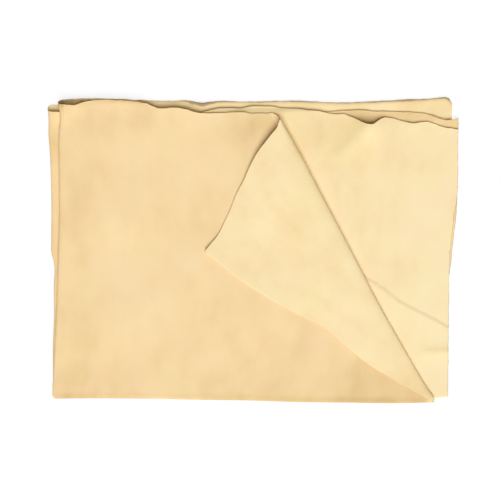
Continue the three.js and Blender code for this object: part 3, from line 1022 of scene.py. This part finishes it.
# Painted shade on the second layer at the back left, where it lies in the shadow of the lifted top
# layer.
LEFT_BACK_SHADE = ((-170, 131), (-146, 132), 5, -2.2)
LOWER_LEFT_WEAR = ((-178, -100), (-178, 120), 8, -0.4)
FLAP_PATCHES = [((20, 80), (60, 0), 50, -0.2), ((132, -110), (156, -132), 11, -0.8)]
PATCHES = {
    "top_panel": [
        ((-148, -80), (-148, 70), 9, -0.4),
        # Painted shadow of the roll and the raised turned corner, on the top layer beside them.
        ((4, 110), (14, 106), 14, -1.0),
        ((-110, 0), (-90, -20), 45, 0.35),
        ((-140, -38), (-122, -32), 13, 0.9),
        ((-92, 71), (-76, 72), 14, 0.7),
        ((-47, 86), (-24, 62), 10, 0.6),
        ((8, -82), (20, -78), 10, 0.6),
        # Painted shade along the top layer's back edge at the left.
        ((-140, 131.4), (-98, 129.8), 1.6, -1.3),
        *FRONT_SHADE_AND_TONE,
        *LEFT_SHADE_AND_TONE,
    ],
    "second_panel": [
        ((55, 100), (85, 95), 26, -0.9),
        ((160, -110), (165, 20), 22, 0.6),
        # Painted shade behind the small soft fold near the front right.
        ((156, -88), (176, -87.5), 2.2, -0.9),
        # Painted shade on the second layer's strip behind the top layer's back edge.
        ((-45, 121), (20, 125), 6, -0.9),
        LEFT_BACK_SHADE,
    ],
    "third_panel": [
        # Painted shade on the third layer's strip at the back, which slopes away from the lamp.
        ((0, 100), (180, 100), 60, -1.1),
        # Painted shadow behind the raised wave of the second layer's back edge.
        ((90, 114), (112, 113), 7, -1.0),
        LOWER_LEFT_WEAR,
    ],
    "bottom_panel": [
        ((-180, 128), (180, 128), 14, -0.8),
        # Painted shade at the rim of the notch, whose curled edge turns away from the lamp, and
        # further right along the far edge.
        ((-54, 130.4), (-45, 129.2), 2.2, -1.8),
        ((-45, 129.2), (-36, 130.4), 2.2, -1.8),
        ((103, 130.7), (138, 132.7), 1.5, -1.0),
        *FAR_RIM_SHADE,
    ],
    "lower_side_fold": [LOWER_LEFT_WEAR],
    "upper_side_fold": [*LEFT_SHADE_AND_TONE, LEFT_BACK_SHADE],
    "folded_corner": LEFT_SHADE_AND_TONE,
    "outer_end_fold": [*FRONT_SHADE_AND_TONE, *LEFT_SHADE_AND_TONE],
    "corner_roll": FLAP_PATCHES,
    "turned_corner": FLAP_PATCHES,
}
print("patches", {node: len(rows) for node, rows in PATCHES.items()})

# %% [markdown]
# ## The eleven pieces of the skin
# Each region of the skin stands for its CAD node. Regions that meet have the same steps along the
# line where they meet, apart from the second layer, which has more rows for its wavy back edge. Rows
# lie closer together at the cut back edges, and the columns of the second and third layers at the
# right, because that is where they show.

# %% Make the pieces
OUTER_COLUMNS = 130
INNER_COLUMNS = 150
UPPER_ROWS = 112
SECOND_ROWS = 220
LOWER_ROWS = 90
FOLD_STEPS = 28
FLAP_COLUMNS = 48
BACK_RIGHT = BACK_SIDE | RIGHT_SIDE
FRONT_BACK = FRONT_SIDE | BACK_SIDE
FINER_BACK = (evenly, finer_far)
FINER_BOTH = (finer_far, finer_far)
FINER_NOSE = (evenly, finer_middle)
FINER_RIGHT_NOSE = (finer_far, finer_middle)
FINER_NOSE_BACK = (finer_middle, finer_far)


def across_first(surface):
    return lambda across, round_it: surface(round_it, across)


# Surface, columns, rows, face that lies over, cut sides, spread of the steps
LEAVES = {
    "bottom_panel": (bottom_layer, OUTER_COLUMNS, LOWER_ROWS, INNER, BACK_RIGHT, FINER_BACK),
    "third_panel": (third_layer, INNER_COLUMNS, LOWER_ROWS, OUTER, BACK_RIGHT, FINER_BOTH),
    "second_panel": (second_layer, INNER_COLUMNS, SECOND_ROWS, INNER, BACK_RIGHT, FINER_BOTH),
    "top_panel": (top_layer, OUTER_COLUMNS, UPPER_ROWS, OUTER, BACK_SIDE, FINER_BACK),
    "lower_side_fold": (lower_side_fold, FOLD_STEPS, LOWER_ROWS, OUTER, BACK_SIDE, FINER_BACK),
    "upper_side_fold": (upper_side_fold, FOLD_STEPS, UPPER_ROWS, OUTER, BACK_SIDE, FINER_BACK),
    "outer_end_fold": (
        across_first(outer_end_fold), OUTER_COLUMNS, FOLD_STEPS, OUTER, RIGHT_SIDE, FINER_NOSE,
    ),
    "inner_end_fold": (
        across_first(inner_end_fold), INNER_COLUMNS, FOLD_STEPS, INNER, RIGHT_SIDE, FINER_RIGHT_NOSE,
    ),
    "folded_corner": (folded_corner, FOLD_STEPS, FOLD_STEPS, INNER, 0, (finer_middle, evenly)),
    "corner_roll": (corner_roll, FOLD_STEPS, UPPER_ROWS, OUTER, FRONT_BACK, FINER_NOSE_BACK),
    "turned_corner": (
        turned_corner, FLAP_COLUMNS, UPPER_ROWS, OUTER, RIGHT_SIDE | FRONT_BACK, FINER_BACK,
    ),
}
pieces = {}
for node, shape in LEAVES.items():
    pieces[node] = leaf(node + "_skin", *shape, PATCHES.get(node, ()))

# %% [markdown]
# ## What moves with what
# The two halves turn about the end fold, and the corner about its crease. The end folds and the roll
# lie across those joints. They ride on no body here: their transforms are only baked into their
# meshes.

# %% Bodies
BODY_OF = {
    "bottom_panel": "lower_half",
    "third_panel": "lower_half",
    "lower_side_fold": "lower_half",
    "second_panel": "upper_half",
    "top_panel": "upper_half",
    "upper_side_fold": "upper_half",
    "turned_corner": "corner",
}
for node, piece in pieces.items():
    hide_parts(node)
    if node in BODY_OF:
        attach(piece, BODY_OF[node])
print(len(BODY_OF), "of", len(pieces), "pieces ride on one body")

# %% Folds that lie across the joints
# The heights between which a fold passes from the lower half to the upper one
END_BLENDS = {
    "outer_end_fold": (1.2, 4.2),
    "inner_end_fold": (2.72, 3.08),
    "folded_corner": (2.72, 3.08),
}
for node, (low, high) in END_BLENDS.items():
    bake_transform(pieces[node])
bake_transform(pieces["corner_roll"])


# %% Flat areas of the layers
def flat_area(node):
    bm = bmesh.new()
    bm.from_mesh(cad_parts[node].data)
    area = bm.calc_volume() / (LEATHER * MM)
    bm.free()
    return area


RESTS_ON = {
    "bottom_panel": [],
    "third_panel": ["bottom_panel_skin"],
    "second_panel": ["third_panel_skin"],
    "top_panel": ["second_panel_skin"],
    "turned_corner": ["top_panel_skin"],
}
for node, below in RESTS_ON.items():
    low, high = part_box(node)
    area = flat_area(node)

# %% Size
low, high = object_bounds()
print("visual box in mm", low / MM, high / MM)
